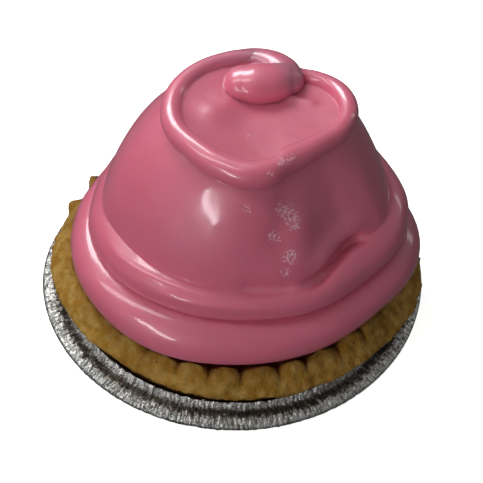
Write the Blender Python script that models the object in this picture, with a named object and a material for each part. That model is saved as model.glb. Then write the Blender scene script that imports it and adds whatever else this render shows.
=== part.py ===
"""Strawberry melba tart: a crimped pastry case in a shallow foil tin, under a tall piped mound of pink icing.

Metres, +Z up. The origin is the centre of the tin's base, and the side that faces -Y is the front.
Each turned shape is a grid wrapped round its axis: its columns are angles, and its rows are the points of a
profile, written as (radius, height). A round list gives (angle in degrees, value), is read on a smooth closed
curve, and angles run anticlockwise from +X, so -90 is the front.
"""

import math
import random

import bmesh
import bpy
from mathutils import Vector

GAP = 0.0003

# Foil tin
TIN_RIM_RADIUS = 0.0420
TIN_BASE_RADIUS = 0.0285
TIN_DEPTH = 0.0155
TIN_FLANGE_WIDTH = 0.0056
TIN_WALL = 0.0004
TIN_BEAD_HEIGHT = 0.0006
TIN_PLEATS = 60
TIN_PLEAT_HEIGHT = 0.00025

# The tin and the case are both pressed in at the back left
DENT_DEGREES = 152
DENT_WIDTH_DEGREES = 26
DENT_SHARE = 0.082

# Pastry case
CRIMPS = 33
FIRST_NOTCH_DEGREES = -94.7
CRIMP_COLUMNS = 4
CRIMP_DEPTH = 0.0019
CRIMP_UNEVENNESS = 0.12
CRIMP_SEED = 7
CREST_HEIGHT = 0.0262
CREST_RADIUS = 0.0351
BELLY_HEIGHT = 0.0216
BELLY_RADIUS = [
    (-170, 0.0399), (-150, 0.0394), (-125, 0.0384), (-90, 0.0391), (-60, 0.0396), (-35, 0.0404),
    (-14, 0.0417), (2, 0.0404), (25, 0.0400), (60, 0.0402), (100, 0.0402), (125, 0.0396), (140, 0.0380),
    (151, 0.0374), (161, 0.0386), (173, 0.0391),
]
CROWN_ROUNDNESS = 2.4
FACE_ROUNDNESS = 1.7
FACE_SHARES = (1.0, 0.62, 0.30, 0.0)
LIP_HEIGHT = [(180, 0.0170), (-150, 0.0180), (-90, 0.0186), (-30, 0.0180), (0, 0.0174), (90, 0.0180)]
LIP_TUCK = 0.0016
RECESS_RADIUS = 0.0308
RECESS_HEIGHT = 0.0222

# Icing mound. Its axis leans a little: its place at the case's crest, and how far it moves for each metre up
AXIS_AT_CREST = (0.0026, 0.0010)
AXIS_LEAN = (0.045, -0.010)
ICING_COLUMNS = 84
EDGE_RADIUS = [
    (180, 0.0356), (-165, 0.0370), (-150, 0.0378), (-120, 0.0374), (-90, 0.0353), (-60, 0.0345),
    (-36, 0.0344), (-20, 0.0360), (-8, 0.0364), (2, 0.0352), (14, 0.0336), (38, 0.0330), (90, 0.0338),
    (130, 0.0332), (150, 0.0320), (165, 0.0330),
]

# The crease above the bottom roll, the crease above the second roll, and how far each stretch swells
LOW_CREASE_RADIUS = [
    (180, 0.0330), (-162, 0.0340), (-145, 0.0334), (-120, 0.0311), (-90, 0.0292), (-65, 0.0292),
    (-40, 0.0301), (-20, 0.0316), (-2, 0.0320), (14, 0.0310), (40, 0.0302), (90, 0.0310), (135, 0.0310),
    (158, 0.0316),
]
LOW_CREASE_HEIGHT = [(180, 0.0335), (-120, 0.0332), (-60, 0.0334), (0, 0.0345), (90, 0.0350), (135, 0.0342)]
HIGH_CREASE_RADIUS = [
    (180, 0.0303), (-165, 0.0309), (-150, 0.0298), (-135, 0.0289), (-115, 0.0276), (-90, 0.0265),
    (-70, 0.0272), (-57, 0.0265), (-46, 0.0252), (-36, 0.0251), (-26, 0.0272), (-17, 0.0286), (0, 0.0279),
    (20, 0.0262), (50, 0.0264), (90, 0.0270), (120, 0.0278), (150, 0.0286), (166, 0.0292),
]
HIGH_CREASE_HEIGHT = [
    (180, 0.0398), (-140, 0.0395), (-90, 0.0399), (-60, 0.0405), (-35, 0.0415), (-18, 0.0422), (0, 0.0432),
    (20, 0.0440), (50, 0.0436), (90, 0.0422), (140, 0.0405),
]
BOTTOM_ROLL_SWELL = [
    (180, 0.0018), (-120, 0.0026), (-60, 0.0024), (-10, 0.0026), (20, 0.0014), (90, 0.0020), (150, 0.0012),
]
SECOND_ROLL_SWELL = [
    (180, 0.0008), (-160, 0.0013), (-135, 0.0020), (-90, 0.0023), (-62, 0.0026), (-38, 0.0031), (-15, 0.0028),
    (0, 0.0026), (14, 0.0018), (30, 0.0009), (90, 0.0012), (150, 0.0006),
]
BODY_SWELL = [
    (180, 0.0022), (150, 0.0022), (90, 0.0015), (25, 0.0011), (0, 0.0010), (-40, 0.0003), (-75, 0.0010),
    (-120, 0.0016),
]

# The loop of icing round the top, a rounded heart in plan with its point at the front
LOOP_RADIUS = [
    (-168, 0.0174), (-142, 0.0159), (-118, 0.0156), (-97, 0.0158), (-81, 0.0149), (-66, 0.0129),
    (-46, 0.0125), (-30, 0.0132), (-14, 0.0152), (2, 0.0168), (18, 0.0175), (34, 0.0171), (48, 0.0157),
    (63, 0.0138), (76, 0.0140), (90, 0.0152), (108, 0.0161), (135, 0.0170), (160, 0.0177),
]
LOOP_HEIGHT = [(-90, 0.0615), (180, 0.0616), (120, 0.0618), (85, 0.0618), (55, 0.0612), (0, 0.0614)]
LOOP_THICKNESS = [
    (-90, 0.0029), (-120, 0.0026), (-150, 0.0023), (180, 0.0021), (135, 0.0019), (90, 0.0020),
    (56, 0.0016), (30, 0.0019), (0, 0.0021), (-30, 0.0024), (-62, 0.0027),
]
# Seen in section, where the loop's round surface leaves the body and where it meets the dish inside it
LOOP_FROM_DEGREES = -70
LOOP_TO_DEGREES = 200
DISH_HEIGHT = 0.0604

# The end of the loop curls in across the dish, and a thick blob closes it. Points are (x, y, z, radius)
CURL = [
    (-0.0020, 0.0155, 0.0615, 0.0017), (0.0020, 0.0153, 0.0619, 0.0022),
    (0.0060, 0.0136, 0.0624, 0.0027), (0.0086, 0.0108, 0.0627, 0.0030),
]
BLOB = [
    (0.0090, 0.0102, 0.0622, 0.0030), (0.0064, 0.0096, 0.0626, 0.0039),
    (0.0026, 0.0090, 0.0627, 0.0040), (-0.0012, 0.0086, 0.0622, 0.0031),
]
TUBE_RINGS = 8
TUBE_COLUMNS = 14
TUBE_FLATNESS = 0.85
TUBE_END_RINGS = 3
TUBE_LOOK_AHEAD = 0.01

# How many rows each stretch of the icing's profile is cut into, and where the rows of its underside lie
ROLL_ROWS = 6
BODY_ROWS = 6
LOOP_ROWS = 9
DISH_ROWS = 4
UNDERSIDE_SHARES = (0, 0.84, 0.90, 0.945)

WELD = 1e-6
SHARP_DEGREES = 40
FOIL = {"name": "foil", "colour": (0.62, 0.62, 0.61), "roughness": 0.32, "metallic": 1.0}
PASTRY = {"name": "pastry", "colour": (0.50, 0.30, 0.10), "roughness": 0.75, "metallic": 0.0}
ICING = {"name": "icing", "colour": (0.66, 0.17, 0.27), "roughness": 0.20, "metallic": 0.0}


def read_round(stations, degrees):
    """The value at an angle, on a smooth closed curve through the stations."""
    known = sorted((angle % 360, value) for angle, value in stations)
    count = len(known)
    degrees %= 360
    after = next((i for i, (angle, _) in enumerate(known) if angle > degrees), count)

    def station(i):
        turns, k = divmod(i, count)
        return known[k][0] + 360 * turns, known[k][1]

    (a0, v0), (a1, v1), (a2, v2), (a3, v3) = (station(after + k) for k in (-2, -1, 0, 1))
    span = a2 - a1
    slope_in = (v2 - v0) / (a2 - a0) * span
    slope_out = (v3 - v1) / (a3 - a1) * span
    t = (degrees - a1) / span
    return (
        (2 * t**3 - 3 * t**2 + 1) * v1
        + (t**3 - 2 * t**2 + t) * slope_in
        + (3 * t**2 - 2 * t**3) * v2
        + (t**3 - t**2) * slope_out
    )


def dent(degrees, height):
    """The share of its radius that the tin or case keeps, which falls from the base up to the rim."""
    away = (degrees - DENT_DEGREES + 180) % 360 - 180
    hill = math.exp(-((away / DENT_WIDTH_DEGREES) ** 2))
    return 1 - DENT_SHARE * min(1.0, height / TIN_DEPTH) * hill


def polar(radius, height, degrees):
    """A point of the dented tin or case."""
    angle = math.radians(degrees)
    kept = radius * dent(degrees, height)
    return kept * math.cos(angle), kept * math.sin(angle), height


def arc(start, end, swell, steps):
    """Points on a round arc that swells to the right of the way from start to end, without its last point."""
    chord_r, chord_z = end[0] - start[0], end[1] - start[1]
    chord = math.hypot(chord_r, chord_z)
    half_angle = 2 * math.atan(2 * swell / chord)
    arc_radius = (chord**2 / 4 + swell**2) / (2 * swell)
    along = (chord_r / chord, chord_z / chord)
    outward = (along[1], -along[0])
    middle = ((start[0] + end[0]) / 2, (start[1] + end[1]) / 2)
    points = []
    for k in range(steps):
        turn = half_angle * (2 * k / steps - 1)
        forward = arc_radius * math.sin(turn)
        out = arc_radius * (math.cos(turn) - math.cos(half_angle))
        points.append(tuple(middle[i] + forward * along[i] + out * outward[i] for i in (0, 1)))
    return points


def wrapped_grid(name, profiles, place):
    """A closed solid: row k of column c is profiles[c][k], which place turns into a point in space."""
    columns, rows = len(profiles), len(profiles[0])
    bm = bmesh.new()
    bmesh.ops.create_grid(bm, x_segments=columns, y_segments=rows - 1, size=1)
    for vertex in bm.verts:
        column = round((vertex.co.x + 1) / 2 * columns) % columns
        row = round((vertex.co.y + 1) / 2 * (rows - 1))
        vertex.co = place(column, *profiles[column][row])
    bmesh.ops.remove_doubles(bm, verts=bm.verts, dist=WELD)
    bmesh.ops.dissolve_degenerate(bm, edges=bm.edges, dist=WELD)
    bmesh.ops.recalc_face_normals(bm, faces=bm.faces)
    mesh = bpy.data.meshes.new(name)
    bm.to_mesh(mesh)
    bm.free()
    made = bpy.data.objects.new(name, mesh)
    bpy.context.scene.collection.objects.link(made)
    return made


def finish(made, look):
    """Shades an object smooth and gives it its plain material."""
    made.data.shade_smooth()
    made.data.set_sharp_from_angle(angle=math.radians(SHARP_DEGREES))
    material = bpy.data.materials.new(look["name"])
    material.use_nodes = True
    shader = material.node_tree.nodes["Principled BSDF"]
    shader.inputs["Base Color"].default_value = (*look["colour"], 1)
    shader.inputs["Roughness"].default_value = look["roughness"]
    shader.inputs["Metallic"].default_value = look["metallic"]
    made.data.materials.append(material)


def build_tin():
    """A shallow tin with a sloping wall, and a flange that is pleated and rolled over at its edge."""
    flange_in = TIN_RIM_RADIUS - TIN_FLANGE_WIDTH
    plain, pleated = 0, TIN_PLEAT_HEIGHT
    rows = [
        (0, 0, plain),
        (TIN_BASE_RADIUS, 0, plain),
        (flange_in, TIN_DEPTH - 2 * TIN_WALL, plain),
        (TIN_RIM_RADIUS - 4 * TIN_WALL, TIN_DEPTH - 3 * TIN_WALL, pleated),
        (TIN_RIM_RADIUS - 2 * TIN_WALL, TIN_DEPTH - 5 * TIN_WALL, pleated),
        (TIN_RIM_RADIUS, TIN_DEPTH - 3 * TIN_WALL, plain),
        (TIN_RIM_RADIUS - TIN_WALL, TIN_DEPTH - TIN_WALL, plain),
        (TIN_RIM_RADIUS - 3 * TIN_WALL, TIN_DEPTH, pleated),
        (flange_in + 4 * TIN_WALL, TIN_DEPTH - TIN_WALL, pleated),
        (flange_in + 2 * TIN_WALL, TIN_DEPTH + TIN_BEAD_HEIGHT / 2, pleated),
        (flange_in + TIN_WALL, TIN_DEPTH + TIN_BEAD_HEIGHT - TIN_WALL, plain),
        (flange_in - TIN_WALL, TIN_DEPTH - TIN_WALL, plain),
        (TIN_BASE_RADIUS - TIN_WALL, TIN_WALL, plain),
        (0, TIN_WALL, plain),
    ]
    profiles = [
        [(radius, height - (column % 2) * pleat) for radius, height, pleat in rows]
        for column in range(2 * TIN_PLEATS)
    ]
    turn = 180 / TIN_PLEATS
    finish(wrapped_grid("foil_tin", profiles, lambda column, r, z: polar(r, z, turn * column)), FOIL)


def wall_inside(height):
    """The radius of the case where it stands in the tin, clear of the tin's sloping wall."""
    top = TIN_RIM_RADIUS - TIN_FLANGE_WIDTH
    outside = TIN_BASE_RADIUS + (top - TIN_BASE_RADIUS) * height / TIN_DEPTH
    return outside - TIN_WALL - 2 * GAP


def case_profile(degrees, crown):
    """From the middle of the underside out, up the wall, over the rim and down into the recess.

    crown is 0 in a notch between two crimps and about 1 in the middle of a crimp.
    """
    floor = TIN_WALL + GAP
    shoulder = TIN_DEPTH - 2 * GAP
    belly = read_round(BELLY_RADIUS, degrees)
    lip = read_round(LIP_HEIGHT, degrees)
    face = []
    for share in FACE_SHARES:
        radius = CREST_RADIUS + (belly - CREST_RADIUS) * share
        height = BELLY_HEIGHT + (CREST_HEIGHT - BELLY_HEIGHT) * (1 - share**FACE_ROUNDNESS)
        face.append((radius, height - (1 - crown) * CRIMP_DEPTH * (1 - share)))
    crest = face[-1][1]
    return [
        (0, floor),
        (wall_inside(floor), floor),
        (wall_inside(shoulder), shoulder),
        (wall_inside(TIN_DEPTH), TIN_DEPTH + TIN_BEAD_HEIGHT + GAP),
        (belly - LIP_TUCK, lip),
        (belly - GAP, (lip + BELLY_HEIGHT) / 2),
        *face,
        ((CREST_RADIUS + RECESS_RADIUS) / 2, (crest + RECESS_HEIGHT) / 2),
        (RECESS_RADIUS, RECESS_HEIGHT),
        (0, RECESS_HEIGHT),
    ]


def build_case():
    """The pastry case, solid to its shallow recess, with a crimped rim that bulges over the tin's flange."""
    draw = random.Random(CRIMP_SEED)
    pitch = 360 / CRIMPS
    places = [k + draw.uniform(-1, 1) * CRIMP_UNEVENNESS for k in range(CRIMPS)]
    notches = [FIRST_NOTCH_DEGREES + pitch * place for place in [*places, places[0] + CRIMPS]]
    angles, profiles = [], []
    for start, end in zip(notches, notches[1:]):
        tall = 1 - 3 * CRIMP_UNEVENNESS * draw.random()
        for part in range(CRIMP_COLUMNS):
            share = part / CRIMP_COLUMNS
            angles.append(start + share * (end - start))
            profiles.append(case_profile(angles[-1], tall * (1 - abs(2 * share - 1) ** CROWN_ROUNDNESS)))
    finish(wrapped_grid("pastry_case", profiles, lambda column, r, z: polar(r, z, angles[column])), PASTRY)


def rest_height(x, y):
    """The height of the icing's underside, which lies on the recess's floor and climbs to clear the crest."""
    radius = math.hypot(x, y) / dent(math.degrees(math.atan2(y, x)), RECESS_HEIGHT)
    climb = (radius - RECESS_RADIUS) / (CREST_RADIUS - RECESS_RADIUS - 2 * GAP)
    return RECESS_HEIGHT + GAP + (CREST_HEIGHT - RECESS_HEIGHT) * min(1.0, max(0.0, climb))


def icing_profile(degrees):
    """From the middle of the underside out to the edge, up over two rolls, the body and the loop, and in.

    The points of the underside have no height of their own, because it follows the case below.
    """
    edge = (read_round(EDGE_RADIUS, degrees), CREST_HEIGHT + GAP)
    low = (read_round(LOW_CREASE_RADIUS, degrees), read_round(LOW_CREASE_HEIGHT, degrees))
    high = (read_round(HIGH_CREASE_RADIUS, degrees), read_round(HIGH_CREASE_HEIGHT, degrees))
    loop_radius, loop_height = read_round(LOOP_RADIUS, degrees), read_round(LOOP_HEIGHT, degrees)
    thick = read_round(LOOP_THICKNESS, degrees)

    underside = [(edge[0] * share, None) for share in UNDERSIDE_SHARES]
    loop = []
    for k in range(LOOP_ROWS + 1):
        turn = math.radians(LOOP_FROM_DEGREES + (LOOP_TO_DEGREES - LOOP_FROM_DEGREES) * k / LOOP_ROWS)
        loop.append((loop_radius + thick * math.cos(turn), loop_height + thick * math.sin(turn)))
    dish = []
    rim_radius, rim_height = loop[-1]
    for k in range(1, DISH_ROWS + 1):
        inward = k / DISH_ROWS
        sunk = 1 - (1 - inward) ** 2
        dish.append((rim_radius * (1 - inward), rim_height + (DISH_HEIGHT - rim_height) * sunk))
    return (
        underside
        + arc(edge, low, read_round(BOTTOM_ROLL_SWELL, degrees), ROLL_ROWS)
        + arc(low, high, read_round(SECOND_ROLL_SWELL, degrees), ROLL_ROWS)
        + arc(high, loop[0], read_round(BODY_SWELL, degrees), BODY_ROWS)
        + loop
        + dish
    )


def along_path(path, share):
    """The point and radius at a share of the way along a smooth curve through a path."""
    spans = len(path) - 1
    first = min(int(share * spans), spans - 1)
    t = share * spans - first
    before, start, end, after = (path[min(max(first + k, 0), spans)] for k in (-1, 0, 1, 2))
    return [
        0.5 * (2 * b + (c - a) * t + (2 * a - 5 * b + 4 * c - d) * t**2 + (3 * b - a - 3 * c + d) * t**3)
        for a, b, c, d in zip(before, start, end, after)
    ]


def build_tube(name, path):
    """A tapered tube with round ends along a path, a little flatter than it is wide."""
    ends = [math.sin(math.pi / 2 * k / TUBE_END_RINGS) for k in range(TUBE_END_RINGS)]
    middle = [(k / TUBE_RINGS, 1) for k in range(TUBE_RINGS + 1)]
    rings = [(0, end) for end in ends] + middle + [(1, end) for end in reversed(ends)]

    def place(column, share, shrink):
        x, y, z, thick = along_path(path, share)
        ahead = along_path(path, min(share + TUBE_LOOK_AHEAD, 1))
        behind = along_path(path, max(share - TUBE_LOOK_AHEAD, 0))
        along = (Vector(ahead[:3]) - Vector(behind[:3])).normalized()
        side = along.cross(Vector((0, 0, 1))).normalized()
        up = side.cross(along)
        round_off = thick * math.sqrt(1 - shrink**2) * (1 if share > 0.5 else -1)
        turn = 2 * math.pi * column / TUBE_COLUMNS
        across, rise = math.cos(turn), math.sin(turn) * TUBE_FLATNESS
        return Vector((x, y, z)) + along * round_off + (side * across + up * rise) * thick * shrink

    return wrapped_grid(name, [rings] * TUBE_COLUMNS, place)


def join_to(body, extras):
    """Fuses other objects into one by a union, and removes them."""
    group = bpy.data.collections.new("extras")
    for extra in extras:
        group.objects.link(extra)
    union = body.modifiers.new("union", "BOOLEAN")
    union.operation = "UNION"
    union.operand_type = "COLLECTION"
    union.collection = group
    union.solver = "MANIFOLD"
    bpy.context.view_layer.update()
    joined = body.evaluated_get(bpy.context.evaluated_depsgraph_get())
    mesh = bpy.data.meshes.new_from_object(joined)
    mesh.materials.clear()
    body.modifiers.clear()
    body.data = mesh
    for extra in extras:
        bpy.data.objects.remove(extra)
    bpy.data.collections.remove(group)


def build_icing():
    """The mound of icing, joined with the curl and the blob that end its loop."""
    profiles = [icing_profile(360 * column / ICING_COLUMNS) for column in range(ICING_COLUMNS)]

    def place(column, radius, height):
        angle = 2 * math.pi * column / ICING_COLUMNS
        rise = 0 if height is None else height - CREST_HEIGHT
        x = AXIS_AT_CREST[0] + AXIS_LEAN[0] * rise + radius * math.cos(angle)
        y = AXIS_AT_CREST[1] + AXIS_LEAN[1] * rise + radius * math.sin(angle)
        return x, y, rest_height(x, y) if height is None else height

    mound = wrapped_grid("pink_icing", profiles, place)
    join_to(mound, [build_tube("curl", CURL), build_tube("blob", BLOB)])
    finish(mound, ICING)


def main():
    for old in list(bpy.data.objects):
        bpy.data.objects.remove(old)
    build_tin()
    build_case()
    build_icing()


main()
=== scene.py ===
import math
import random

import bmesh
import bpy
from mathutils import Matrix, Vector, noise
from mathutils.kdtree import KDTree


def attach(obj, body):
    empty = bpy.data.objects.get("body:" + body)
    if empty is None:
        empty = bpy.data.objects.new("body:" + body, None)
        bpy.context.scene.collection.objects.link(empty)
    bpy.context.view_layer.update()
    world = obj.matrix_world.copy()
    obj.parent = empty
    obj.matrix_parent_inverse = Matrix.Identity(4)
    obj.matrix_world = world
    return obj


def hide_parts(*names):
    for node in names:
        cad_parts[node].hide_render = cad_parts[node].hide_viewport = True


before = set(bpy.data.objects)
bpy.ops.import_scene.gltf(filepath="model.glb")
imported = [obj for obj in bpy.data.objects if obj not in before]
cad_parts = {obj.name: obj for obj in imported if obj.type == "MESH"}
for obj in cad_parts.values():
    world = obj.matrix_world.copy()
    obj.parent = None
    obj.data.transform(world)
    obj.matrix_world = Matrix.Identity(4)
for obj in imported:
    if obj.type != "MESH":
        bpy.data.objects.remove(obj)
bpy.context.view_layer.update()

# The tart stands on its tin at the origin, +Z up, with its front towards -Y. All lengths are in metres.
# A round list holds (angle in degrees, value), with angles anticlockwise from +X, and is read as a closed curve.
gap = 0.0003  # between the tin and the case, and between the case and the icing

# Shapes that turn round an axis


def readRound(stations, degrees):
    known = sorted((angle % 360, value) for angle, value in stations)
    count = len(known)
    degrees %= 360
    after = next((i for i, (angle, _) in enumerate(known) if angle > degrees), count)

    def station(i):
        turns, k = divmod(i, count)
        return known[k][0] + 360 * turns, known[k][1]

    (a0, v0), (a1, v1), (a2, v2), (a3, v3) = (station(after + k) for k in (-2, -1, 0, 1))
    span = a2 - a1
    slopeIn, slopeOut = (v2 - v0) / (a2 - a0) * span, (v3 - v1) / (a3 - a1) * span
    t = (degrees - a1) / span
    start, end = (2 * t**3 - 3 * t**2 + 1) * v1, (3 * t**2 - 2 * t**3) * v2
    return start + (t**3 - 2 * t**2 + t) * slopeIn + end + (t**3 - t**2) * slopeOut


def hill(value, middle, width):
    return math.exp(-(((value - middle) / width) ** 2))


def hillRound(degrees, middle, width):
    return math.exp(-((((degrees - middle + 180) % 360 - 180) / width) ** 2))


def bowedLine(start, end, swell, steps):
    # points on a round arc to the right of the way from start to end, without the last one
    chordR, chordZ = end[0] - start[0], end[1] - start[1]
    chord = math.hypot(chordR, chordZ)
    half = 2 * math.atan(2 * swell / chord)
    arcRadius = (chord**2 / 4 + swell**2) / (2 * swell)
    along = (chordR / chord, chordZ / chord)
    outward = (along[1], -along[0])
    points = []
    for k in range(steps):
        turn = half * (2 * k / steps - 1)
        forward, out = arcRadius * math.sin(turn), arcRadius * (math.cos(turn) - math.cos(half))
        points.append(tuple((start[i] + end[i]) / 2 + forward * along[i] + out * outward[i] for i in (0, 1)))
    return points


def turnedGrid(columns, rows):
    # a flat grid whose vertices are then placed by column and row, which closes it round an axis
    bm = bmesh.new()
    bmesh.ops.create_grid(bm, x_segments=columns, y_segments=rows - 1, size=1)
    column, row = bm.verts.layers.int.new("column"), bm.verts.layers.int.new("row")
    for vertex in bm.verts:
        vertex[column] = round((vertex.co.x + 1) / 2 * columns) % columns
        vertex[row] = round((vertex.co.y + 1) / 2 * (rows - 1))
    return bm


def columnAndRow(bm):
    # each vertex of a grid with its column and row
    column, row = bm.verts.layers.int["column"], bm.verts.layers.int["row"]
    return [(vertex, vertex[column], vertex[row]) for vertex in bm.verts]


def closeUp(bm):
    # merges the seam and the poles, and turns every face outwards
    for name in ("column", "row"):
        bm.verts.layers.int.remove(bm.verts.layers.int[name])
    bmesh.ops.remove_doubles(bm, verts=bm.verts, dist=1e-6)
    bmesh.ops.dissolve_degenerate(bm, edges=bm.edges, dist=1e-6)
    bmesh.ops.recalc_face_normals(bm, faces=bm.faces)


def makePiece(name, bm, material, standsFor=None):
    mesh = bpy.data.meshes.new(name)
    bm.to_mesh(mesh)
    bm.free()
    mesh.shade_smooth()
    mesh.set_sharp_from_angle(angle=math.radians(55))  # keeps the creases between rolls sharp
    mesh.materials.append(material)
    piece = bpy.data.objects.new(name, mesh)
    bpy.context.scene.collection.objects.link(piece)
    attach(piece, "root")
    if standsFor:
        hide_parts(standsFor)
    print(name, len(mesh.vertices), "vertices")
    return piece


# Materials


class Signal:
    # a socket of a material, which Python's operators work on

    def __init__(self, recipe, socket):
        self.recipe, self.socket = recipe, socket

    def math(self, operation, first, second):
        return self.recipe.add("ShaderNodeMath", {"operation": operation}, {0: first, 1: second})

    def __add__(self, other):
        return self.math("ADD", self, other)

    def __radd__(self, other):
        return self.math("ADD", other, self)

    def __sub__(self, other):
        return self.math("SUBTRACT", self, other)

    def __rsub__(self, other):
        return self.math("SUBTRACT", other, self)

    def __mul__(self, other):
        return self.math("MULTIPLY", self, other)

    def __rmul__(self, other):
        return self.math("MULTIPLY", other, self)


class Recipe:
    # a material and its nodes

    def __init__(self, name):
        self.material = bpy.data.materials.new(name)
        self.material.use_nodes = True
        self.nodes = self.material.node_tree.nodes
        self.links = self.material.node_tree.links
        self.shader = self.nodes["Principled BSDF"]

    def fill(self, node, sockets):
        for key, value in sockets.items():
            if isinstance(value, Signal):
                self.links.new(value.socket, node.inputs[key])
            else:
                node.inputs[key].default_value = value

    def add(self, kind, settings=None, sockets=None, output=0):
        node = self.nodes.new(kind)
        for key, value in (settings or {}).items():
            setattr(node, key, value)
        self.fill(node, sockets or {})
        return Signal(self, node.outputs[output])

    def place(self):
        return self.add("ShaderNodeTexCoord", output="Object")

    def noise(self, coords, size, detail=3, roughness=0.5):
        sockets = {"Vector": coords, "Scale": 1 / size, "Detail": detail, "Roughness": roughness}
        return self.add("ShaderNodeTexNoise", {}, sockets)

    def between(self, value, low, high):
        # 0 below low, 1 above high and straight between them
        return self.add("ShaderNodeMapRange", {}, {"Value": value, "From Min": low, "From Max": high})

    def blend(self, share, first, second):
        first = first if isinstance(first, Signal) else (*first, 1)
        second = second if isinstance(second, Signal) else (*second, 1)
        return self.add("ShaderNodeMix", {"data_type": "RGBA"}, {0: share, 6: first, 7: second}, 2)

    def attribute(self, name):
        return self.add("ShaderNodeAttribute", {"attribute_name": name}, {}, "Fac")

    def vector(self, operation, *values):
        return self.add("ShaderNodeVectorMath", {"operation": operation}, dict(enumerate(values)))

    def bump(self, height, depth, strength=1.0):
        return self.add("ShaderNodeBump", {}, {"Height": height, "Distance": depth, "Strength": strength})

    def finish(self, **sockets):
        self.fill(self.shader, {key.replace("_", " "): value for key, value in sockets.items()})
        return self.material


# Foil tin

tin = {
    "rimRadius": 0.0420, "baseRadius": 0.0285, "depth": 0.0155, "flangeWidth": 0.0056, "wall": 0.0004,
    "beadHeight": 0.0006, "crinkles": 226, "columnsPerCrinkle": 6, "crinkleDepth": 0.00003,
    "creases": [(14, 250, 0, 0.00022), (62, 800, 0, 0.00046), (110, 2400, 3, 0.00023)],  # round, across, shift, depth
    "seed": 3, "flutes": 84, "fluteDepth": 0.00020, "dentDegrees": 152, "dentWidthDegrees": 26, "dentShare": 0.082,
}
# dark and streak paint reflected shade on the flange; bright also paints the bead's highlight
tinLook = {
    "bright": (0.92, 0.91, 0.88), "dull": (0.52, 0.51, 0.485), "dark": (0.31, 0.30, 0.285), "roughness": (0.24, 0.46),
    "facetSize": 0.0008, "facetDepth": 0.0005, "fineSize": 0.00035, "patchSize": 0.005, "wallDullness": 0.7,
    "streak": (0.10, 0.095, 0.09), "streakSize": 0.0005, "streakShare": 0.7, "streakLean": 0.2,
}


def dent(degrees, height):
    # the share of its radius that the tin or case keeps where it is pressed in, at the back left
    pressed = tin["dentShare"] * min(1.0, height / tin["depth"])
    return 1 - pressed * hillRound(degrees, tin["dentDegrees"], tin["dentWidthDegrees"])


def polar(radius, height, degrees):
    kept = radius * dent(degrees, height)
    return Vector((kept * math.cos(math.radians(degrees)), kept * math.sin(math.radians(degrees)), height))


def foilMaterial():
    recipe = Recipe("foil")
    place, across = recipe.place(), recipe.attribute("across")
    facets, fine = recipe.noise(place, tinLook["facetSize"], 3, 0.6), recipe.noise(place, tinLook["fineSize"], 2)
    patches = recipe.noise(place, tinLook["patchSize"], 2)
    # the streaks run outwards, as their noise follows the direction from the axis more than the place
    spoke = recipe.vector("NORMALIZE", recipe.vector("MULTIPLY", place, (1, 1, 0)))
    short = recipe.vector("MULTIPLY", place, (tinLook["streakLean"],) * 3)
    around = recipe.vector("MULTIPLY_ADD", spoke, (0.04,) * 3, short)
    streaks = recipe.between(recipe.noise(around, tinLook["streakSize"], 2), 0.50, 0.62)
    shine = facets * 0.5 + fine * 0.25 + patches * 0.25
    colour = recipe.blend(recipe.between(shine, 0.40, 0.60), tinLook["dull"], tinLook["bright"])
    # painted reflected shade: the middle band of the flange and the line at the rim are darkened towards the dark
    # colour
    troughShade = recipe.between(across, 0.12, 0.18) * (1 - recipe.between(across, 0.46, 0.62))
    edge = recipe.between(across, 0.955, 0.985)
    colour = recipe.blend(troughShade * 0.5 + edge * 0.5, colour, tinLook["dark"])
    # painted highlight: the bead at the flange's inner edge is lightened towards the bright colour
    bead = recipe.between(across, 0.02, 0.06) * (1 - recipe.between(across, 0.10, 0.15))
    colour = recipe.blend(bead * 0.7, colour, tinLook["bright"])
    # painted reflection: dark streaks where the crinkles would mirror dark surroundings; the same streaks also shape
    # the bump
    colour = recipe.blend(streaks * tinLook["streakShare"], colour, tinLook["streak"])
    low, high = tinLook["roughness"]
    wall = recipe.between(across, -0.02, -0.10)
    return recipe.finish(
        Base_Color=colour, Metallic=1 - wall * tinLook["wallDullness"],
        Roughness=low + (high - low) * recipe.between(fine, 0.35, 0.65),
        Normal=recipe.bump(facets * 0.7 + fine * 0.3 - streaks * 0.2, tinLook["facetDepth"], 0.8),
    )


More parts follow.
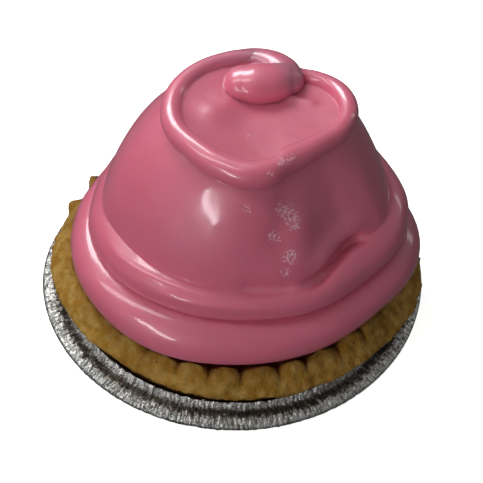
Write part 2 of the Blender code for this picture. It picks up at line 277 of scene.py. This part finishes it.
def tinRows():
    # (radius, height, how far the crinkles reach there), from the middle of the underside over the rim and back
    rim, depth, wall, bead = tin["rimRadius"], tin["depth"], tin["wall"], tin["beadHeight"]
    inner, base = rim - tin["flangeWidth"], tin["baseRadius"]
    rows = [(0, 0, 0), (base * 0.5, 0, 0), (base - 0.0006, 0, 0), (base, 0.0002, 0)]
    rows += [(base + (inner - base) * t, (depth - 2 * wall) * t, 0.35) for t in (0.15, 0.35, 0.6, 0.85, 1.0)]
    rows += [(inner + 0.0012, depth - 3 * wall, 0.8), (inner + 0.0026, depth - 4 * wall, 1.0)]
    rows += [(rim - 5 * wall, depth - 4 * wall, 1.0), (rim - 3 * wall, depth - 6 * wall, 0.8)]
    for turn in (-115, -70, -25, 20, 60, 90):  # the rolled edge
        rolled = (rim - 1.7 * wall + 1.7 * wall * math.cos(math.radians(turn)),
                  depth - 3 * wall + 1.7 * wall * math.sin(math.radians(turn)))
        rows.append((*rolled, 0.45))
    # a shoulder that falls outwards, a trough that falls inwards, and the narrow bead at the inner edge
    rows += [(rim - 0.0009, depth - 0.00045, 1.0), (rim - 0.0013, depth - 0.00026, 1.2)]
    rows += [(rim - 0.0018, depth - 0.00012, 1.2), (rim - 0.0024, depth - 0.00008, 1.1)]
    rows += [(rim - 0.0030, depth - 0.00024, 1.0), (rim - 0.0036, depth - 0.00045, 0.9)]
    rows += [(rim - 0.0042, depth - 0.00060, 0.8), (inner + 0.0009, depth - 0.0003, 0.8)]
    rows += [(inner + 0.0006, depth + bead * 0.6, 0.9), (inner + 0.0003, depth + bead, 0.9)]
    rows += [(inner, depth + bead * 0.5, 0.4), (inner - wall, depth - wall, 0.2)]
    rows += [(base - wall + (inner - base) * t, wall + (depth - 2 * wall) * t, 0) for t in (0.7, 0.3, 0.0)]
    return rows + [(0, wall, 0)]


def buildTin():
    rows = tinRows()
    draw = random.Random(tin["seed"])
    columns = tin["crinkles"] * tin["columnsPerCrinkle"]
    tall = [draw.uniform(0.3, 1.3) for _ in range(tin["crinkles"])]
    lean = [draw.uniform(-0.5, 0.5) for _ in range(tin["crinkles"])]
    bm = turnedGrid(columns, len(rows))
    across = bm.verts.layers.float.new("across")  # 0 at the flange's inner edge, 1 at the rim
    for vertex, column, row in columnAndRow(bm):
        radius, height, reach = rows[row]
        degrees = 360 * column / columns
        vertex[across] = 1 + (radius - tin["rimRadius"]) / tin["flangeWidth"]
        out = polar(1, 0, degrees)
        place = out * 60 + Vector((0, 0, radius * 900))
        drift = 0.35 * noise.noise(place) * tin["columnsPerCrinkle"]
        k = int(column / tin["columnsPerCrinkle"])
        share = (column + drift) / tin["columnsPerCrinkle"] + lean[k] * (radius - 0.039) * 40
        wave = math.cos(math.tau * share) * tall[k] * tin["crinkleDepth"] * reach
        for turns, inward, shift, depth in tin["creases"]:
            wave += noise.noise(out * turns + Vector((shift, 0, radius * inward))) * depth * min(1, reach)
        onWall = min(1, height / tin["depth"]) * min(1, max(0, -3 * vertex[across]))
        flute = onWall * tin["fluteDepth"] * math.cos(math.tau * tin["flutes"] * column / columns)
        vertex.co = polar(radius + flute, height + wave, degrees)
    closeUp(bm)
    return makePiece("foil_tin_crinkled", bm, foilMaterial(), "foil_tin")


# Pastry case

pastry = {
    "crimps": 33, "columnsPerCrimp": 20, "faceRows": 14, "firstNotch": -94.7, "unevenness": 0.12,
    "seed": 7, "lipRow": 11, "lumps": [(230, 0.00050), (620, 0.00034), (1400, 0.00014)], "lumpsDown": 0.00024,
    "crownRoundness": 2.4, "crestHeight": 0.0262, "crestRadius": 0.0351,
    "bellyHeight": 0.0216, "faceRoundness": 1.7, "raggedness": 0.0019, "lipTuck": 0.0016,
    "recessRadius": 0.0308, "recessHeight": 0.0222,
    "bellyRadius": [
        (-170, 0.0399), (-150, 0.0394), (-125, 0.0384), (-90, 0.0391), (-60, 0.0396), (-35, 0.0404),
        (-14, 0.0417), (2, 0.0404), (25, 0.0400), (60, 0.0402), (100, 0.0402), (125, 0.0396), (140, 0.0380),
        (151, 0.0374), (161, 0.0386), (173, 0.0391),
    ],
    "knobs": [  # (degrees, radius, height, size, swell) of the lumps at the back left
        (157, 0.0356, 0.0246, 0.0019, 0.0024), (169, 0.0368, 0.0236, 0.0017, 0.0020),
        (147, 0.0352, 0.0246, 0.0016, 0.0010),
    ],
    # darker at the front than at the sides and back
    "darkeningByAngle": [(180, 0.0), (-135, 0.0), (-110, 0.10), (-85, 0.28), (-50, 0.15), (-20, 0.0), (90, 0.1)],
    "notchDepth": [
        (-160, 0.0002), (-125, 0.0003), (-108, 0.0011), (-90, 0.0018), (-60, 0.0018), (-35, 0.0010), (0, 0.0009),
        (90, 0.0012), (150, 0.0010), (180, 0.0005),
    ],
    "lipHeight": [(180, 0.0170), (-150, 0.0180), (-90, 0.0186), (-30, 0.0180), (0, 0.0174), (90, 0.0180)],
}
# brown also paints the shade under the lip and in the notches
pastryLook = {
    "gold": (0.36, 0.178, 0.021), "pale": (0.50, 0.31, 0.080), "brownAndShade": (0.10, 0.032, 0.003), "roughness": (0.66, 0.9),
    "broadSize": 0.009, "mottleSize": 0.0024, "crumbSize": 0.0006, "speckSize": 0.0015, "crumbDepth": 0.0006,
    "sheen": 0.2,
}


def pastryMaterial():
    recipe = Recipe("pastry")
    place = recipe.place()
    broad, crumb = recipe.noise(place, pastryLook["broadSize"], 3), recipe.noise(place, pastryLook["crumbSize"], 3, 0.6)
    mottle = recipe.noise(place, pastryLook["mottleSize"], 4, 0.6)
    bakedAndShade = recipe.attribute("bakedAndShade")
    colour = recipe.blend(recipe.between(mottle, 0.40, 0.62), pastryLook["gold"], pastryLook["pale"])
    specks = recipe.between(recipe.noise(place, pastryLook["speckSize"], 2), 0.68, 0.80) * 0.7
    # the per-vertex darkening holds painted shade under the lip and in the notches, and a darker crest and front
    brownedAndShaded = bakedAndShade * 0.8 + specks + recipe.between(broad, 0.45, 0.75) * 0.35 + recipe.between(crumb, 0.56, 0.8) * 0.5
    colour = recipe.blend(recipe.between(brownedAndShaded, 0, 1), colour, pastryLook["brownAndShade"])
    smooth, rough = pastryLook["roughness"]
    return recipe.finish(
        Base_Color=colour, Roughness=smooth + (rough - smooth) * mottle,
        Normal=recipe.bump(crumb * 0.6 + mottle * 0.4, pastryLook["crumbDepth"], 0.8),
        Specular_IOR_Level=pastryLook["sheen"],
    )


def caseRows(degrees, crown):
    # (radius, height, how rough, how baked and shaded) from the middle of the underside, over the rim and into the
    # recess
    floor, depth, wall = tin["wall"] + gap, tin["depth"], tin["wall"] + 2 * gap
    inner, base = tin["rimRadius"] - tin["flangeWidth"] - wall, tin["baseRadius"] - wall
    belly, lip = readRound(pastry["bellyRadius"], degrees), readRound(pastry["lipHeight"], degrees)
    crest, crestRadius = pastry["crestHeight"], pastry["crestRadius"]
    notch = readRound(pastry["notchDepth"], degrees)
    rows = [(0, floor, 0, 0), (base * 0.5, floor, 0, 0), (base, floor, 0, 0)]
    rows += [(base + (inner - base) * t, floor + (depth - 2 * gap - floor) * t, 0, 0) for t in (0.3, 0.7, 1.0)]
    # painted shadow: the tuck under the lip and the lip's lower edge get a high darkening value, which turns them dark
    # brown
    start, end = (inner, depth + tin["beadHeight"] + gap), (belly - pastry["lipTuck"], lip)
    for t in (0.0, 0.35, 0.7, 0.9):
        rows.append((start[0] + (end[0] - start[0]) * t, start[1] + (end[1] - start[1]) * t, 0.6 * t, 1.6))
    for t in (0.0, 0.18, 0.4, 0.65, 0.85):
        side = math.sin(math.pi / 2 * t)
        height = lip + (pastry["bellyHeight"] - lip) * t
        rows.append((end[0] + (belly - end[0]) * side, height, 1, 0.9 * (1 - t) ** 3))
    for k in range(pastry["faceRows"] + 1):
        share = 1 - k / pastry["faceRows"]
        drop = (1 - crown) * notch * (1 - share)
        rise = (crest - pastry["bellyHeight"]) * (1 - share ** pastry["faceRoundness"])
        # painted shade: the notches between crimps are darkened near the crest; the face also gets darker towards the
        # crest
        rows.append((crestRadius + (belly - crestRadius) * share, pastry["bellyHeight"] + rise - drop, 1,
                     0.5 * (1 - share) ** 1.6 + min(1, notch * 700) * 1.6 * (1 - crown) ** 3 * (1 - share) ** 3))
    top, recess = rows[-1][1], (pastry["recessRadius"], pastry["recessHeight"])
    for t in (0.12, 0.3, 0.5, 0.75, 1.0):
        rows.append((crestRadius + (recess[0] - crestRadius) * t, top + (recess[1] - top) * t, 0.3 * (1 - t), 1))
    return rows + [(recess[0] * 0.5, recess[1], 0, 1), (0, recess[1], 0, 1)]


def buildCase():
    draw = random.Random(pastry["seed"])
    crimps, steps, uneven = pastry["crimps"], pastry["columnsPerCrimp"], pastry["unevenness"]
    places = [k + draw.uniform(-1, 1) * uneven for k in range(crimps)]
    notches = [pastry["firstNotch"] + 360 / crimps * place for place in [*places, places[0] + crimps]]
    angles, profiles = [], []
    for start, end in zip(notches, notches[1:]):
        tall = 1 - 3 * uneven * draw.random()
        for part in range(steps):
            angles.append(start + part / steps * (end - start))
            crown = tall * (1 - abs(2 * part / steps - 1) ** pastry["crownRoundness"])
            profiles.append(caseRows(angles[-1], crown))
    columns = len(angles)
    bm = turnedGrid(columns, len(profiles[0]))
    bakedAndShade = bm.verts.layers.float.new("bakedAndShade")
    for vertex, column, row in columnAndRow(bm):
        radius, height, rough, brownAndShade = profiles[column][row]
        place = polar(radius, height, angles[column])
        lumps = sum(noise.noise(place * fine) * depth for fine, depth in pastry["lumps"]) - pastry["lumpsDown"]
        out = Vector((place.x, place.y, 0)).normalized()
        edge = out * pastry["crestRadius"]
        ragged = noise.noise(edge * 300 + Vector((9, 0, 0))) + 0.8 * noise.noise(edge * 900)
        ragged = (ragged + 0.6 * noise.noise(edge * 1700)) * pastry["raggedness"] * hill(row, pastry["lipRow"], 3)
        for degrees, far, tall, size, swell in pastry["knobs"]:
            lumps += swell * hill((place - polar(far, tall, degrees)).length, 0, size)
        vertex[bakedAndShade] = brownAndShade + readRound(pastry["darkeningByAngle"], angles[column])
        vertex.co = place + out * ((lumps + ragged * 0.5) * rough) + Vector((0, 0, (lumps * 0.4 + ragged) * rough))
    closeUp(bm)
    return makePiece("pastry_case_baked", bm, pastryMaterial(), "pastry_case")


# Pink icing

icing = {
    "columns": 520, "axisAtCrest": (0.0026, 0.0010), "axisLean": (0.045, -0.010),
    "rollRows": 18, "bodyRows": 72, "loopRows": 22, "dishRows": 28, "undersideShares": (0, 0.84, 0.90, 0.945, 0.985),
    "edgeRadius": [
        (180, 0.0356), (-165, 0.0370), (-150, 0.0378), (-120, 0.0374), (-90, 0.0353), (-60, 0.0345),
        (-36, 0.0344), (-20, 0.0360), (-8, 0.0364), (2, 0.0352), (14, 0.0336), (38, 0.0330), (90, 0.0338),
        (130, 0.0332), (150, 0.0320), (165, 0.0330),
    ],
    "lowCreaseRadius": [
        (180, 0.0330), (-162, 0.0340), (-145, 0.0334), (-120, 0.0311), (-90, 0.0292), (-65, 0.0292),
        (-40, 0.0301), (-20, 0.0316), (-2, 0.0320), (14, 0.0310), (40, 0.0302), (90, 0.0310), (135, 0.0310),
        (158, 0.0316),
    ],
    "lowCreaseHeight": [(180, 0.0335), (-120, 0.0332), (-60, 0.0334), (0, 0.0345), (90, 0.0350), (135, 0.0342)],
    "highCreaseRadius": [
        (180, 0.0303), (-165, 0.0309), (-150, 0.0298), (-135, 0.0289), (-115, 0.0276), (-90, 0.0265),
        (-70, 0.0272), (-57, 0.0265), (-46, 0.0252), (-36, 0.0251), (-26, 0.0272), (-17, 0.0286), (0, 0.0279),
        (20, 0.0262), (50, 0.0264), (90, 0.0270), (120, 0.0278), (150, 0.0286), (166, 0.0292),
    ],
    "highCreaseHeight": [
        (180, 0.0398), (-140, 0.0395), (-90, 0.0399), (-60, 0.0405), (-35, 0.0415), (-18, 0.0422), (0, 0.0432),
        (20, 0.0440), (50, 0.0436), (90, 0.0422), (140, 0.0405),
    ],
    "bottomSwell": [
        (180, 0.0018), (-150, 0.0023), (-120, 0.0019), (-95, 0.0019), (-60, 0.0024), (-10, 0.0026), (20, 0.0014),
        (90, 0.0020), (150, 0.0012),
    ],
    "secondSwell": [
        (180, 0.0008), (-160, 0.0013), (-135, 0.0020), (-90, 0.0023), (-62, 0.0026), (-38, 0.0031),
        (-15, 0.0028), (0, 0.0026), (14, 0.0018), (30, 0.0009), (90, 0.0012), (150, 0.0006),
    ],
    "bodySwell": [
        (180, 0.0022), (150, 0.0022), (90, 0.0015), (25, 0.0011), (0, 0.0010), (-40, 0.0003), (-75, 0.0010),
        (-120, 0.0016),
    ],
    "loopRadius": [
        (-168, 0.0174), (-142, 0.0159), (-118, 0.0156), (-97, 0.0158), (-81, 0.0149), (-66, 0.0129),
        (-46, 0.0125), (-30, 0.0132), (-14, 0.0152), (2, 0.0168), (18, 0.0175), (34, 0.0171), (48, 0.0157),
        (63, 0.0138), (76, 0.0140), (90, 0.0152), (108, 0.0161), (135, 0.0170), (160, 0.0177),
    ],
    "loopHeight": [(-90, 0.0615), (180, 0.0616), (120, 0.0618), (85, 0.0618), (55, 0.0612), (0, 0.0614)],
    "loopThickness": [
        (-90, 0.0029), (-120, 0.0026), (-150, 0.0023), (180, 0.0021), (135, 0.0019), (90, 0.0020),
        (56, 0.0016), (30, 0.0019), (0, 0.0021), (-30, 0.0024), (-62, 0.0027),
    ],
    "loopTo": [(-90, 196), (-130, 185), (180, 158), (130, 165), (90, 190), (0, 185)],
    "loopFrom": -70, "dishHeight": 0.0604,
}
# glintColour paints the glints in the crust patches
icingLook = {
    "pink": (0.72, 0.166, 0.260), "deep": (0.67, 0.136, 0.220), "glintColour": (1.0, 0.60, 0.70), "roughness": (0.40, 0.50),
    "sheen": 0.85, "coat": 0.9, "coatRoughness": 0.12,
    "softness": 0.45, "softDepth": 0.004, "softReach": (1.0, 0.3, 0.35),
    "dimples": 0.000030, "dimpleSize": 0.0016, "grain": 0.000010, "grainSize": 0.0005, "crust": 0.00045,
}

# Ridges (height above 0) and grooves (below 0) on the icing: width, height and the points that each runs through
icingRuns = {
    "crease of the fold": (0.0011, -0.0017, [
        (0.0137, -0.0249, 0.0402), (0.0176, -0.0224, 0.0405), (0.0199, -0.0185, 0.0409), (0.0224, -0.0148, 0.0416),
        (0.0246, -0.0130, 0.0418), (0.0266, -0.0123, 0.0418),
    ]),
    "bulge over the fold": (0.0024, 0.0009, [
        (0.0166, -0.0209, 0.0426), (0.0189, -0.0175, 0.0436), (0.0214, -0.0139, 0.0442), (0.0244, -0.0118, 0.0441),
    ]),
    "left crest": (0.0008, 0.00025, [
        (-0.0255, -0.0135, 0.0385), (-0.0227, -0.0176, 0.0386), (-0.0158, -0.0227, 0.0390), (-0.0083, -0.0260, 0.0392),
        (0.0002, -0.0276, 0.0392),
    ]),
    "strand below it": (0.0011, 0.0004, [
        (-0.0140, -0.0254, 0.0375), (-0.0106, -0.0268, 0.0378), (-0.0056, -0.0281, 0.0380), (0.0030, -0.0288, 0.0382),
        (0.0105, -0.0280, 0.0384),
    ]),
    "soft valley of the body": (0.0026, -0.0004, [
        (0.0086, -0.0140, 0.0570), (0.0090, -0.0180, 0.0528), (0.0085, -0.0206, 0.0498), (0.0088, -0.0222, 0.0468),
    ]),
    "swell beside the valley": (0.0030, 0.0005, [
        (0.0125, -0.0162, 0.0520), (0.0130, -0.0185, 0.0490), (0.0132, -0.0205, 0.0455), (0.0130, -0.0222, 0.0430),
    ]),
    "hollow of the body's foot": (0.0016, -0.0006, [
        (0.0020, -0.0257, 0.0403), (0.0075, -0.0257, 0.0404), (0.0125, -0.0246, 0.0404),
    ]),
    "swell of the dish's left": (0.0036, 0.0011, [
        (-0.0052, 0.0010, 0.0606), (-0.0040, 0.0022, 0.0606), (-0.0028, 0.0036, 0.0606),
    ]),
    "small ridge of the dish's right": (0.0009, 0.0005, [
        (0.0086, 0.0076, 0.0605), (0.0118, 0.0066, 0.0605), (0.0150, 0.0056, 0.0605),
    ]),
}

# Patches of rough, bumpy crust on the front, speckled with painted glints: (x, y, z, radius)
icingCrust = [
    (0.0022, -0.0183, 0.0560, 0.0006), (0.0026, -0.0184, 0.0554, 0.0006), (0.0088, -0.0170, 0.0550, 0.0010),
    (0.0103, -0.0169, 0.0543, 0.0012), (0.0110, -0.0168, 0.0534, 0.0016), (0.0116, -0.0177, 0.0522, 0.0011),
    (0.0118, -0.0184, 0.0510, 0.0009), (0.0078, -0.0206, 0.0508, 0.0009), (0.0084, -0.0207, 0.0500, 0.0011),
    (0.0117, -0.0216, 0.0470, 0.0009), (0.0112, -0.0219, 0.0463, 0.0012), (0.0116, -0.0221, 0.0458, 0.0009),
    (0.0107, -0.0233, 0.0440, 0.0007), (0.0106, -0.0237, 0.0434, 0.0008), (0.0018, -0.0041, 0.0604, 0.0004),
    (0.0062, -0.0164, 0.0637, 0.0007), (0.0081, -0.0140, 0.0641, 0.0008), (0.0093, -0.0130, 0.0641, 0.0009),
    (0.0104, -0.0121, 0.0641, 0.0007),
]

# The end of the loop turns in over the dish and closes in a thick blob: (x, y, z, radius)
curl = {
    "rope": [
        (-0.0110, 0.0094, 0.0615, 0.0016), (-0.0067, 0.0136, 0.0616, 0.0018), (-0.0018, 0.0157, 0.0617, 0.0021),
        (0.0022, 0.0162, 0.0618, 0.0025), (0.0056, 0.0151, 0.0619, 0.0030), (0.0080, 0.0130, 0.0619, 0.0034),
        (0.0088, 0.0108, 0.0618, 0.0036),
    ],
    "blob": [
        (0.0080, 0.0108, 0.0617, 0.0040), (0.0056, 0.0096, 0.0618, 0.0045), (0.0028, 0.0091, 0.0618, 0.0046),
        (0.0003, 0.0091, 0.0617, 0.0041),
    ],
    "rings": 44, "columns": 44, "flatness": 0.85,
}


def icingMaterial():
    recipe = Recipe("icing")
    place = recipe.place()
    broad, soft = recipe.noise(place, 0.016, 2), recipe.noise(place, 0.005, 2)
    dimples, grain = recipe.noise(place, icingLook["dimpleSize"], 2), recipe.noise(place, icingLook["grainSize"], 2)
    colour = recipe.blend(recipe.between(broad * 0.6 + soft * 0.4, 0.3, 0.7), icingLook["pink"], icingLook["deep"])
    low, high = icingLook["roughness"]
    rough = recipe.between(recipe.attribute("crust"), 0.08, 1.1)
    # painted highlight: pale glints speckled over the crust patches
    paintedGlints = recipe.between(rough, 0, 0.25) * recipe.between(grain + rough * 0.18, 0.56, 0.76) * 0.65
    colour = recipe.blend(paintedGlints, colour, icingLook["glintColour"])
    crust = (grain - 0.5) * rough
    bumped = dimples * icingLook["dimples"] + grain * icingLook["grain"] + crust * icingLook["crust"]
    return recipe.finish(
        Base_Color=colour, Roughness=low + (high - low) * recipe.between(soft, 0.3, 0.7),
        Normal=recipe.bump(bumped, 1.0), Specular_IOR_Level=icingLook["sheen"],
        Subsurface_Weight=icingLook["softness"], Subsurface_Scale=icingLook["softDepth"],
        Subsurface_Radius=icingLook["softReach"],
        Coat_Weight=icingLook["coat"], Coat_Roughness=icingLook["coatRoughness"],
    )


def restHeight(x, y):
    # the icing's underside lies on the recess's floor and climbs to clear the crest
    radius = math.hypot(x, y) / dent(math.degrees(math.atan2(y, x)), pastry["recessHeight"])
    climb = (radius - pastry["recessRadius"]) / (pastry["crestRadius"] - pastry["recessRadius"] - 2 * gap)
    rise = (pastry["crestHeight"] - pastry["recessHeight"]) * min(1.0, max(0.0, climb))
    return pastry["recessHeight"] + gap + rise


def icingRows(degrees):
    # (radius, height, stretch): stretch is 1 to 2 on the bottom roll, 2 to 3 on the second, 3 to 4 on the body,
    # 4 to 5 on the loop and 5 to 6 on the dish
    read = {key: readRound(value, degrees) for key, value in icing.items() if isinstance(value, list)}
    edge = (read["edgeRadius"], pastry["crestHeight"] + gap)
    low = (read["lowCreaseRadius"], read["lowCreaseHeight"])
    high = (read["highCreaseRadius"], read["highCreaseHeight"])
    thick, count = read["loopThickness"], icing["loopRows"]
    loop = []
    for k in range(count + 1):
        turn = math.radians(icing["loopFrom"] + (read["loopTo"] - icing["loopFrom"]) * k / count)
        loop.append((read["loopRadius"] + thick * math.cos(turn), read["loopHeight"] + thick * math.sin(turn)))
    dish = []
    for k in range(1, icing["dishRows"] + 1):
        inward = k / icing["dishRows"]
        sunk = 1 - (1 - inward) ** 2
        dish.append((loop[-1][0] * (1 - inward), loop[-1][1] + (icing["dishHeight"] - loop[-1][1]) * sunk))
    stretches = [
        [(edge[0] * share, None) for share in icing["undersideShares"]],
        bowedLine(edge, low, read["bottomSwell"], icing["rollRows"]),
        bowedLine(low, high, read["secondSwell"], icing["rollRows"]),
        bowedLine(high, loop[0], read["bodySwell"], icing["bodyRows"]),
        loop,
        dish,
    ]
    return [(*p, i + k / len(points)) for i, points in enumerate(stretches) for k, p in enumerate(points)]


def buildIcing():
    columns = icing["columns"]
    profiles = [icingRows(360 * column / columns) for column in range(columns)]
    bm = turnedGrid(columns, len(profiles[0]))
    stretch = bm.verts.layers.float.new("stretch")
    for vertex, column, row in columnAndRow(bm):
        radius, height, vertex[stretch] = profiles[column][row]
        angle = math.tau * column / columns
        rise = 0 if height is None else height - pastry["crestHeight"]
        x = icing["axisAtCrest"][0] + icing["axisLean"][0] * rise + radius * math.cos(angle)
        y = icing["axisAtCrest"][1] + icing["axisLean"][1] * rise + radius * math.sin(angle)
        vertex.co = (x, y, restHeight(x, y) if height is None else height)
    closeUp(bm)
    bm.normal_update()
    swells = icingSwells(bm, bm.verts.layers.float["stretch"])
    moves = [vertex.normal * swell for vertex, swell in zip(bm.verts, swells)]
    crust = bm.verts.layers.float.new("crust")
    for vertex, move in zip(bm.verts, moves):
        vertex.co += move
        if vertex.co.y < -0.002:
            vertex[crust] = sum(hill((vertex.co - Vector(c[:3])).length, 0, c[3]) for c in icingCrust)
    addTube(bm, curl["rope"])
    addTube(bm, curl["blob"])
    return makePiece("pink_icing_piped", bm, icingMaterial(), "pink_icing")


def icingSwells(bm, stretch):
    # how far each vertex moves outwards for the ridges, the grooves and the icing's soft unevenness
    tree = KDTree(len(bm.verts))
    for i, vertex in enumerate(bm.verts):
        tree.insert(vertex.co, i)
    tree.balance()
    swells = []
    for vertex in bm.verts:
        free = min(1.0, max(0.0, (vertex[stretch] - 1) * 4))
        uneven = noise.noise(vertex.co * 95) * 0.00014 + noise.noise(vertex.co * 290 + Vector((5, 0, 0))) * 0.00005
        swells.append(uneven * free)
    for width, height, points in icingRuns.values():
        length = sum(math.dist(a, b) for a, b in zip(points, points[1:]))
        steps = int(length / (width * 0.3)) + 1
        nearest = {}
        for k in range(steps + 1):
            fade = min(1.0, 5 * k / steps, 5 * (1 - k / steps))
            for _, i, distance in tree.find_range(alongPath(points, k / steps), 2.4 * width):
                swell = fade * hill(distance, 0, width)
                nearest[i] = max(nearest.get(i, 0), swell)
        for i, share in nearest.items():
            swells[i] += height * share
    return swells


def alongPath(path, share):
    spans = len(path) - 1
    first = min(int(share * spans), spans - 1)
    t = share * spans - first
    before, start, end, after = (path[min(max(first + k, 0), spans)] for k in (-1, 0, 1, 2))
    return [
        0.5 * (2 * b + (c - a) * t + (2 * a - 5 * b + 4 * c - d) * t**2 + (3 * b - a - 3 * c + d) * t**3)
        for a, b, c, d in zip(before, start, end, after)
    ]


def addTube(bm, path):
    ends = [math.sin(math.pi / 2 * k / 8) for k in range(8)]
    rings = [(0, end) for end in ends] + [(k / curl["rings"], 1) for k in range(curl["rings"] + 1)]
    rings += [(1, end) for end in reversed(ends)]
    tube = turnedGrid(curl["columns"], len(rings))
    for vertex, column, row in columnAndRow(tube):
        share, shrink = rings[row]
        x, y, z, thick = alongPath(path, share)
        ahead, behind = alongPath(path, min(share + 0.02, 1)), alongPath(path, max(share - 0.02, 0))
        along = (Vector(ahead[:3]) - Vector(behind[:3])).normalized()
        side = along.cross(Vector((0, 0, 1))).normalized()
        up = side.cross(along)
        roundOff = thick * math.sqrt(1 - shrink**2) * (1 if share > 0.5 else -1)
        turn = math.tau * column / curl["columns"]
        spread = side * math.cos(turn) + up * math.sin(turn) * curl["flatness"]
        vertex.co = Vector((x, y, z)) + along * roundOff + spread * thick * shrink
    closeUp(tube)
    made = bpy.data.meshes.new("tube")
    tube.to_mesh(made)
    tube.free()
    bm.from_mesh(made)
    bpy.data.meshes.remove(made)


# Studio

camera = {"elevation": 50.74, "distance": 0.300, "aim": (0.00178, 0, 0.0233), "roll": 3.34, "lens": 1387.2 / 483 * 36}
lights = {
    "above": {"towards": (-0.40, 0.50, 0.77), "along": (1, 0, 0), "distance": 0.21, "size": (0.10, 0.07),
              "power": 0.24},
    "left": {"towards": (-0.55, -0.055, 0.83), "along": (0.83, 0, 0.55), "distance": 0.60, "size": (0.38, 0.12),
             "power": 0.70},
    "window": {"towards": (-0.56, -0.73, 0.37), "along": (-0.40, 0.67, 0.63), "distance": 0.60, "size": (0.28, 0.055),
               "power": 0.60},
    "right": {"towards": (0.76, 0.50, 0.42), "along": (0.43, -0.21, -0.88), "distance": 0.60, "size": (0.28, 0.05),
              "power": 0.13},
    "front": {"towards": (-0.40, -0.85, 0.30), "along": (0.85, -0.40, 0), "distance": 0.60, "size": (0.36, 0.26),
              "power": 0.60, "shows": False},
}
studio = {"ambient": 0.16, "below": 0.09, "floorColour": (0.93, 0.93, 0.92), "floorGlow": 0.90}


def buildStudio():
    scene = bpy.context.scene
    scene.view_settings.view_transform = "Standard"
    data = bpy.data.cameras.new("camera")
    data.sensor_width, data.lens = 36, camera["lens"]
    data.clip_start, data.clip_end = 0.01, 20
    eye = bpy.data.objects.new("camera", data)
    scene.collection.objects.link(eye)
    tilt, aim = math.radians(camera["elevation"]), Vector(camera["aim"])
    stand = aim + Vector((0, -math.cos(tilt), math.sin(tilt))) * camera["distance"]
    look = (aim - stand).to_track_quat("-Z", "Y").to_matrix().to_4x4()
    eye.matrix_world = Matrix.Translation(stand) @ look @ Matrix.Rotation(math.radians(camera["roll"]), 4, "Z")
    scene.camera = eye

    middle = Vector((0, 0, 0.03))
    for name, lamp in lights.items():
        data = bpy.data.lights.new(name, "AREA")
        data.shape, data.energy = "RECTANGLE", lamp["power"]
        data.size, data.size_y = lamp["size"]
        made = bpy.data.objects.new(name, data)
        made.visible_glossy = lamp.get("shows", True)
        scene.collection.objects.link(made)
        towards = Vector(lamp["towards"]).normalized()
        across = towards.cross(Vector(lamp["along"])).normalized()
        turned = Matrix((across.cross(towards), across, towards)).transposed()
        made.matrix_world = Matrix.Translation(middle + towards * lamp["distance"]) @ turned.to_4x4()

    world = bpy.data.worlds.new("studio")
    world.use_nodes = True
    sky, links = world.node_tree.nodes, world.node_tree.links
    direction, height = sky.new("ShaderNodeTexCoord"), sky.new("ShaderNodeSeparateXYZ")
    above = sky.new("ShaderNodeMapRange")  # dimmer below the floor than above it
    links.new(direction.outputs["Generated"], height.inputs[0])
    links.new(height.outputs["Z"], above.inputs["Value"])
    above.inputs["From Min"].default_value, above.inputs["From Max"].default_value = -0.1, 0.15
    above.inputs["To Min"].default_value, above.inputs["To Max"].default_value = studio["below"], studio["ambient"]
    links.new(above.outputs["Result"], sky["Background"].inputs["Strength"])
    sky["Background"].inputs["Color"].default_value = (1, 1, 1, 1)
    scene.world = world

    recipe = Recipe("pale floor")
    colour = (*studio["floorColour"], 1)
    recipe.finish(Base_Color=colour, Roughness=0.9, Emission_Color=colour, Emission_Strength=studio["floorGlow"])
    bm = bmesh.new()
    bmesh.ops.create_circle(bm, cap_ends=True, segments=64, radius=3)
    mesh = bpy.data.meshes.new("floor")
    bm.to_mesh(mesh)
    bm.free()
    mesh.materials.append(recipe.material)
    floor = bpy.data.objects.new("floor", mesh)
    floor.visible_diffuse = floor.visible_glossy = False  # so the pale floor doesn't light the tart from below
    scene.collection.objects.link(floor)


buildTin()
buildCase()
buildIcing()
buildStudio()
print("scene built")
